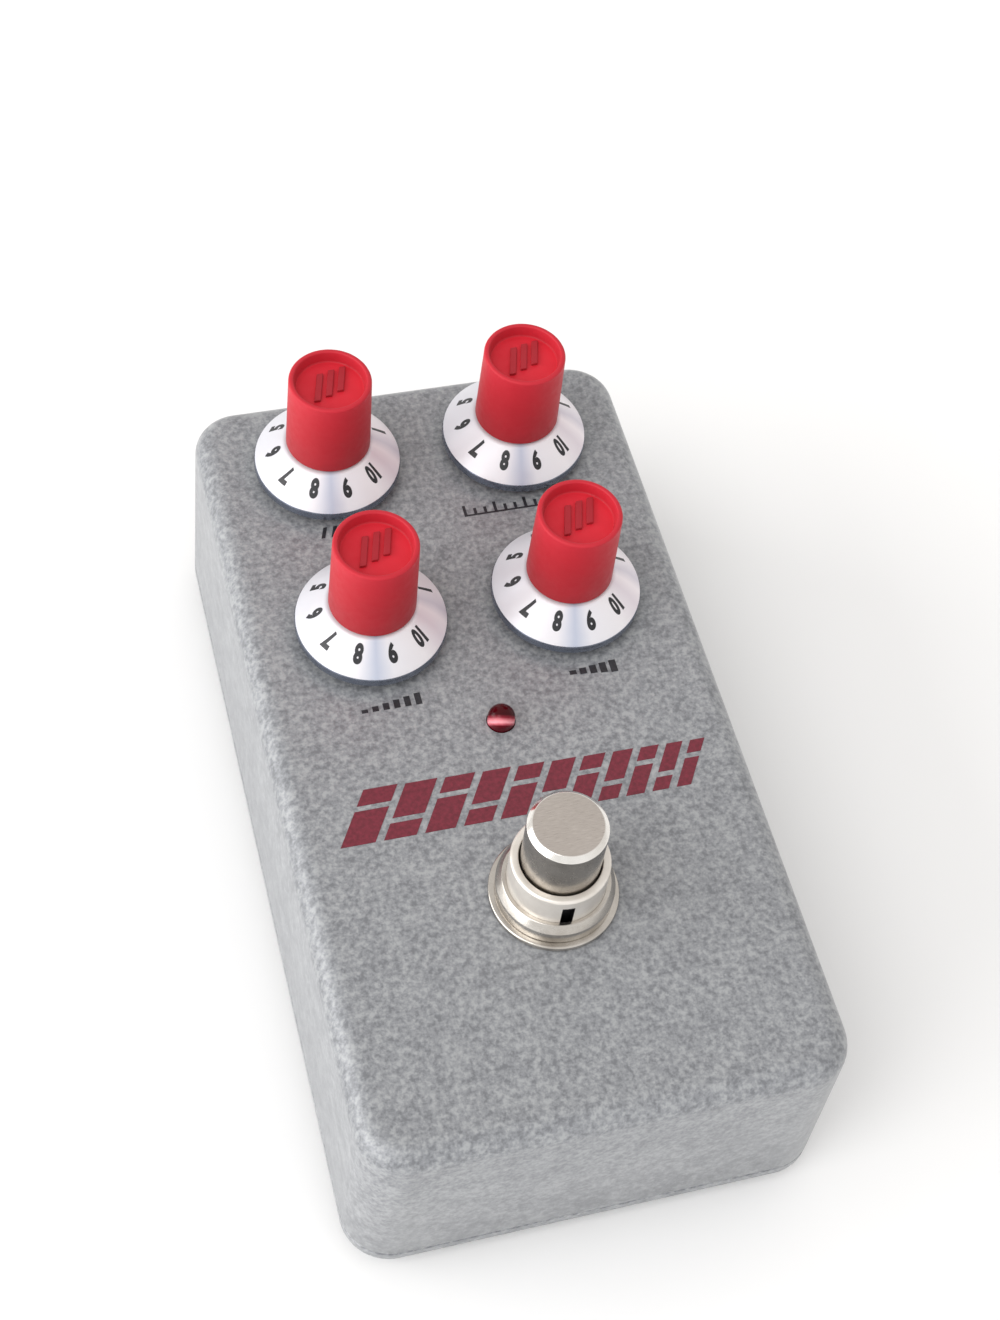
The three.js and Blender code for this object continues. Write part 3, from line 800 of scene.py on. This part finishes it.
skirt_under = [(4.25, 5.9), (4.25, 3.9), (6.4, 3.9), (8.95, 1.5), (8.95, 1.3)]
for which, (x, y) in KNOBS.items():
    body = f"knob_{which}"
    profile = fillet(skirt_under[:-1] + [(9.0, 1.3, 0.08), (9.8, 1.3, 0.12), (9.8, 2.42, 0.16)], 4)[:-1]
    profile += [(9.8, 2.3), (9.77, 2.44), (9.7, 2.56)] + cone_points() + [(5.7, 6.0), (4.25, 6.0)]
    skirt = lathe(f"skirt_{which}", profile, (x, y, 0), n=144, closed=True, angle=50)
    piece(skirt, body, "dial_white", "dial", "dial_edge", nodes=[f"knob_skirt_{which}"])
    # the rim and the underside take the darker blue-grey: painted shade
    for f in skirt.data.polygons:
        r = math.hypot(f.center.x, f.center.y) * 1000
        if r > 9.66 or (f.center.z * 1000 < 3.0 and f.normal.z < 0.1):
            f.material_index = 1
    digits = from_bmesh(f"digits_{which}", dial_digits(which), (x, y, 0), angle=30, merge=0)
    piece(digits, body, "dial_white", "digit")
    cap = lathe(
        f"grip_{which}",
        fillet(
            [
                (0, 14.3),
                (3.1, 14.3),
                (3.1, 6.15),
                (5.45, 6.15, 0.12),
                (5.6, 6.35, 0.1),
                (5.37, 18.1, 0.6),
                (4.72, 18.1, 0.22),
                (4.5, CAP_FLOOR, 0.25),
                (0, CAP_FLOOR),
            ],
            7,
        ),
        (x, y, 0),
        n=128,
    )
    piece(cap, body, "grip_red", "red", "red_lit_floor", nodes=[f"knob_cap_{which}"])
    # the recessed top takes the lighter copy of the red: painted light
    for f in cap.data.polygons:
        if f.normal.z > 0.9 and abs(f.center.z * 1000 - CAP_FLOOR) < 0.1:
            f.material_index = 1
    mark = from_bmesh(f"relief_{which}", cap_relief(), (x, y, 0), angle=30, merge=0)
    bevel = mark.modifiers.new("soft", "BEVEL")
    bevel.width = 0.00009
    bevel.segments = 2
    # the raised bars take the darker copy of the red: painted shade
    piece(mark, body, "grip_red", "red_shade_mark")

# ------------------------------------------------------------------ indicator lamp
dome = [(LED_R * math.cos(math.radians(a)), 0.85 + 1.6 * math.sin(math.radians(a))) for a in range(0, 91, 5)]
dome[-1] = (0, dome[-1][1])
lamp = lathe(
    "lamp_lens",
    [(0, -5.4), (2.1, -5.4), (2.1, -4.4), (LED_R, -4.4)] + dome,
    (0, LED_Y, 0),
    n=72,
)
piece(lamp, "case", "lamp_red", "lamp", nodes=["indicator_lamp"])
for side, x in (("left", -0.8), ("right", 0.8)):
    leg = lathe(f"lamp_leg_{side}", fillet([(0, -9.7), (0.25, -9.7, 0.05), (0.25, -5.3, 0.05), (0, -5.3)], 2), (x, LED_Y, 0), n=16)
    piece(leg, "case", "zinc", "zinc")

# ------------------------------------------------------------------ foot switch
bush = lathe(
    "switch_bush",
    fillet(
        [
            (2.6, -4.3),
            (6.0, -4.3, 0.1),
            (6.0, 8.6, 0.4),
            (5.0, 8.6, 0.12),
            (4.95, 8.3, 0.05),
            (4.95, -3.0, 0.1),
            (2.6, -3.0),
        ]
    ),
    (0, SWITCH_Y, 0),
    n=144,
    closed=True,
)
keyway = prism_bm([(-1.25, -7.5), (0.25, -7.5), (0.25, -5.2), (-1.25, -5.2)], -3.5, 7.2)
boolean(bush, [keyway])
# painted light: the bush takes the lighter copy of the nickel
piece(bush, "case", "chrome", "bush", "oxide_and_shade", nodes=["footswitch_bush"])
# painted shade: the keyway's faces take the black steel colour, for the dark of the deep slot
for f in bush.data.polygons:
    fx, fy, fz = (c * 1000 for c in f.center)
    if -1.4 < fx < 0.4 and fy < -5.1 and math.hypot(fx, fy) < 5.9 and fz < 7.25:
        f.material_index = 1
washer = lathe(
    "switch_washer",
    fillet([(6.03, 0.1), (7.9, 0.1, 0.1), (7.95, 0.9, 0.25), (6.03, 0.9)], 5),
    (0, SWITCH_Y, 0),
    n=128,
    closed=True,
)
piece(washer, "case", "chrome", "nickel", nodes=["footswitch_washer"])
nut = lathe(
    "switch_dress_nut",
    fillet([(6.03, 1.0), (7.2, 1.0, 0.15), (7.2, 2.8, 0.4), (6.5, 3.9, 0.25), (6.03, 3.9)], 5),
    (0, SWITCH_Y, 0),
    n=128,
    closed=True,
)
piece(nut, "case", "chrome", "nickel", nodes=["footswitch_dress_nut"])
button = lathe(
    "switch_button",
    fillet(
        [
            (0, 5.9),
            (2.5, 5.9),
            (2.5, -0.2),
            (4.8, -0.2, 0.1),
            (4.8, 15.95, 0.22),
            (4.2, 16.6, 0.22),
            (0, 16.6),
        ]
    ),
    (0, SWITCH_Y, 0),
    n=144,
)
piece(button, "button", "chrome", "cap_shaded_side", "cap_top", "bright", nodes=["footswitch_button"])
# the button's side takes the darker nickel copy (painted shade), its rounded top edge the lighter one (painted
# highlight)
for f in button.data.polygons:
    r, z = math.hypot(f.center.x, f.center.y) * 1000, f.center.z * 1000
    if z > 16.5 and r < 4.15 and f.normal.z > 0.97:
        f.material_index = 1
    elif z > 15.85:
        f.material_index = 2


def coil_bm(radius, wire, z0, z1, turns, around=12, per_turn=36):
    """A helical wire with closed ends, in mm."""
    bm = bmesh.new()
    rings = []
    steps = turns * per_turn
    for i in range(steps + 1):
        a = 2 * math.pi * i / per_turn
        z = z0 + (z1 - z0) * i / steps
        ring = []
        for k in range(around):
            b = 2 * math.pi * k / around
            r = radius + wire * math.cos(b)
            ring.append(bm.verts.new((r * math.cos(a) / 1000, r * math.sin(a) / 1000, (z + wire * math.sin(b)) / 1000)))
        rings.append(ring)
    for r0, r1 in zip(rings, rings[1:]):
        for k in range(around):
            j = (k + 1) % around
            bm.faces.new((r0[k], r0[j], r1[j], r1[k]))
    bm.faces.new(rings[0][::-1])
    bm.faces.new(rings[-1])
    return bm


# The return spring stands on the housing's floor; the real one shortens with the plunger's 2.5 mm stroke, and here it
# is one fixed coil.
spring = from_bmesh("return_spring", coil_bm(2.9, 0.35, -15.6, -6.5, 5), (0, SWITCH_Y, 0), angle=50)
piece(spring, "case", "zinc", "zinc", nodes=["footswitch_spring"])
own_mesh(spring)


# ------------------------------------------------------------------ jacks and power socket
def hex_bm(across, y0, y1):
    R = across / math.sqrt(3)
    bm = prism_bm([(R * math.cos(math.pi / 3 * i), R * math.sin(math.pi / 3 * i)) for i in range(6)], y0, y1)
    return bm


def hex_nut(name, across, z0, z1, bore, at, turn):
    obj = from_bmesh(name, hex_bm(across, z0, z1), at, turn, angle=25)
    R = across / math.sqrt(3)
    r = across / 2
    barrel = lathe_bm(
        [(0, z0 - 0.01), (r * 0.96, z0 - 0.01), (R + 0.02, z0 + 0.55), (R + 0.02, z1 - 0.55), (r * 0.96, z1 + 0.01), (0, z1 + 0.01)], 72
    )
    boolean(obj, [barrel], "INTERSECT", 25)
    boolean(
        obj,
        [lathe_bm([(0, z0 - 1), (bore + 0.3, z0 - 1), (bore + 0.3, z0), (bore, z0 + 0.3), (bore, z1 - 0.3), (bore + 0.3, z1), (bore + 0.3, z1 + 1), (0, z1 + 1)], 64)],
        "DIFFERENCE",
        25,
    )
    return obj


def thread(r, z0, z1, pitch=0.55, depth=0.11):
    pts = []
    n = int((z1 - z0) / pitch)
    for i in range(n):
        z = z0 + i * pitch
        pts += [(r - depth, z), (r, z + pitch * 0.35), (r, z + pitch * 0.6), (r - depth, z + pitch * 0.95)]
    return pts


face = Y_BACK + DRAFT_Y * -(JACK_Z - 7) / SHELL_H + 0.12
for which, x in (("input", JACK_X), ("output", -JACK_X)):
    at = (x, 0, JACK_Z)
    body = from_bmesh(f"{which}_socket", prism_bm([(-6.5, -6.0), (6.5, -6.0), (6.5, 6.0), (-6.5, 6.0)], 0.8, 23.9), at, ALONG_Y, angle=25)
    bevel = body.modifiers.new("soft", "BEVEL")
    bevel.width = 0.0005
    bevel.segments = 3
    bush_profile = [(0, 23.0), (4.6, 23.0)] + thread(4.6, 23.4, JACK_END - 0.5) + [(4.6, JACK_END - 0.4), (4.35, JACK_END), (0, JACK_END)]
    boolean(body, [lathe_bm(bush_profile, 72)], "UNION", 30)
    boolean(body, [lathe_bm([(0, 4.0), (3.2, 4.0), (3.2, JACK_END - 0.5), (3.75, JACK_END + 0.05), (3.75, JACK_END + 1), (0, JACK_END + 1)], 72)], "DIFFERENCE", 30)
    piece(body, "case", "black_plastic", "black", nodes=[f"{which}_jack_body"])
    ring = lathe(
        f"{which}_washer",
        fillet([(4.75, face), (6.9, face, 0.08), (6.9, face + 0.7, 0.2), (4.75, face + 0.7)], 4),
        at,
        n=96,
        closed=True,
        turn=ALONG_Y,
    )
    piece(ring, "case", "chrome", "chrome", nodes=[f"{which}_jack_washer"])
    nut = hex_nut(f"{which}_nut", 12, face + 0.8, face + 3.2, 4.75, at, ALONG_Y)
    piece(nut, "case", "chrome", "chrome", nodes=[f"{which}_jack_nut"])

end = Y_BACK + DRAFT_Y * -JACK_Z / SHELL_H + 0.2
power = from_bmesh("power_inlet", prism_bm([(-4.6, -5.0), (4.6, -5.0), (4.6, 6.0), (-4.6, 6.0)], 10.0, 23.9), (0, 0, JACK_Z), ALONG_Y, angle=25)
boolean(power, [lathe_bm([(0, 23.0), (4.0, 23.0), (4.0, end - 0.2), (3.8, end), (0, end)], 72)], "UNION", 30)
boolean(power, [lathe_bm([(0, 14.5), (3.1, 14.5), (3.1, end - 0.25), (3.35, end + 0.02), (3.35, end + 1), (0, end + 1)], 72)], "DIFFERENCE", 30)
piece(power, "case", "black_plastic", "black", nodes=["power_socket"])
pin = lathe(
    "power_pin",
    fillet([(0, 13.6), (1.05, 13.6), (1.05, end - 0.9, 0.45), (0, end - 0.9)], 6),
    (0, 0, JACK_Z),
    n=48,
    turn=ALONG_Y,
)
piece(pin, "case", "zinc", "zinc")


# ------------------------------------------------------------------ print on the panel
def print_on_panel(name, polygons, look, z1=0.045):
    bm = join_bm([prism_bm(p, -0.02, z1) for p in polygons])
    obj = from_bmesh(name, bm, (0, 0, 0), angle=20, merge=0)
    return piece(obj, "case", "painted_shell", look)


# Slanted speed stripes, wide at the left and narrowing to the right, each split by a thin gap.
SLANT = 0.6
BASE_Y, TOP_L, TOP_R = -44.1, -36.7, -37.9
stripes = []
x, width, i = -23.6, 4.3, 0
while x < 19.2:
    w = max(1.0, width)
    t = (x + 23.6) / 43.0
    top = TOP_L + (TOP_R - TOP_L) * t
    h = top - BASE_Y
    split = BASE_Y + h * (0.66 if i % 2 == 0 else 0.34)

    def bar(y0, y1, x0=x, w=w):
        return [
            (x0 + (y0 - BASE_Y) * SLANT, y0),
            (x0 + w + (y0 - BASE_Y) * SLANT, y0),
            (x0 + w + (y1 - BASE_Y) * SLANT, y1),
            (x0 + (y1 - BASE_Y) * SLANT, y1),
        ]

    stripes += [bar(BASE_Y, split - 0.35), bar(split + 0.35, top)]
    x += w + 1.05
    width -= 0.24
    i += 1
print_on_panel("panel_stripes", stripes, "motif")


def rect(x0, x1, y0, y1):
    return [(x0, y0), (x1, y0), (x1, y1), (x0, y1)]


# Small marks under the knobs: a rising row of bars, a ramp, a ruled scale and a row of waves.
marks = []
for i in range(6):
    marks.append(rect(-16.9 + i * 1.4, -16.1 + i * 1.4, -25.9, -25.4 + i * 0.24))
print_on_panel("mark_level", marks, "label")
marks = []
for i in range(5):
    marks.append(rect(10.5 + i * 1.35, 11.4 + i * 1.35, -26.0 + (4 - i) * 0.15, -24.2 - (4 - i) * 0.15))
print_on_panel("mark_gain", marks, "label")
marks = [rect(3.4, 20.6, 1.9, 2.15)]
for i in range(13):
    tall = 1.5 if i % 3 == 0 else 0.9
    marks.append(rect(3.4 + i * 1.4, 3.8 + i * 1.4, 2.15, 2.2 + tall))
print_on_panel("mark_mid", marks, "label")
marks = []
for i in range(5):
    x0 = -16.2 + i * 1.35
    marks.append([(x0, 1.9), (x0 + 0.5, 1.9), (x0 + 1.1, 3.6), (x0 + 0.6, 3.6)])
print_on_panel("mark_tone", marks, "label")

# ------------------------------------------------------------------ floor, lights, camera
WORLD_BACK = (0.84, 0.82, 0.80)
WORLD_FRONT = 1.0
floor_mesh = bpy.data.meshes.new("floor")
s = 3.0
floor_mesh.from_pydata([(-s, -s, 0), (s, -s, 0), (s, s, 0), (-s, s, 0)], [], [(0, 1, 2, 3)])
floor = bpy.data.objects.new("floor", floor_mesh)
bpy.context.scene.collection.objects.link(floor)
floor_look = Nodes("floor_white")
floor_look.colour(floor_look.ramp(floor_look.noise(3, 2), [(0.3, (0.89, 0.89, 0.89)), (0.7, (0.91, 0.91, 0.91))]))
floor_look.set(Roughness=0.9)
floor_mesh.materials.append(floor_look.mat)

bpy.context.scene.view_settings.view_transform = "Standard"

# A soft studio: bright to the front, a little darker and warmer overhead and behind.
world = bpy.data.worlds.new("studio")
bpy.context.scene.world = world
world.use_nodes = True
wt = world.node_tree
direction = wt.nodes.new("ShaderNodeTexCoord").outputs["Generated"]
facing = wt.nodes.new("ShaderNodeVectorMath")
facing.operation = "DOT_PRODUCT"
facing.inputs[1].default_value = Vector((-0.25, -0.9, 0.1)).normalized()
wt.links.new(direction, facing.inputs[0])
sky = wt.nodes.new("ShaderNodeValToRGB")
sky.color_ramp.elements[0].position = 0.0
sky.color_ramp.elements[0].color = (WORLD_BACK[0], WORLD_BACK[1], WORLD_BACK[2], 1)
sky.color_ramp.elements[1].position = 0.75
sky.color_ramp.elements[1].color = (WORLD_FRONT, WORLD_FRONT, WORLD_FRONT, 1)
wt.links.new(facing.outputs["Value"], sky.inputs["Fac"])
wt.links.new(sky.outputs["Color"], wt.nodes["Background"].inputs["Color"])
wt.nodes["Background"].inputs["Strength"].default_value = 1.0


def area(name, where, target, size, power, colour=(1, 1, 1)):
    data = bpy.data.lights.new(name, "AREA")
    data.shape = "RECTANGLE"
    data.size, data.size_y = size
    data.energy = power
    data.color = colour
    obj = bpy.data.objects.new(name, data)
    bpy.context.scene.collection.objects.link(obj)
    obj.location = where
    obj.rotation_euler = (Vector(target) - Vector(where)).to_track_quat("-Z", "Y").to_euler()
    return obj


mid = (0, 0.0, 0.03)
area("left", (-2.2, -0.1, 0.8), mid, (3.0, 1.5), 48.0)
area("key", (-1.0, -0.6, 1.8), mid, (1.0, 1.0), 9.0)

# The camera looks down at the pedal from the front left, slightly rolled.
az, el, roll = math.radians(-22.14), math.radians(55.75), math.radians(9.08)
back = Vector((math.sin(az) * math.cos(el), -math.cos(az) * math.cos(el), math.sin(el)))
right = (-back).cross(Vector((0, 0, 1))).normalized()
up = right.cross(-back)
r2 = right * math.cos(roll) + up * math.sin(roll)
u2 = up * math.cos(roll) - right * math.sin(roll)
spot = Vector((2.2, -21.4, 0.0)) + back * 273.9
cam_data = bpy.data.cameras.new("camera")
cam_data.sensor_fit = "AUTO"
cam_data.sensor_width = 36.0
cam_data.lens = 2134.5 * 36.0 / 1320
cam_data.clip_start = 0.01
cam = bpy.data.objects.new("camera", cam_data)
bpy.context.scene.collection.objects.link(cam)
turn = Matrix((r2, u2, back)).transposed().to_4x4()
cam.matrix_world = Matrix.Translation(row(*spot)) @ turn
bpy.context.scene.camera = cam
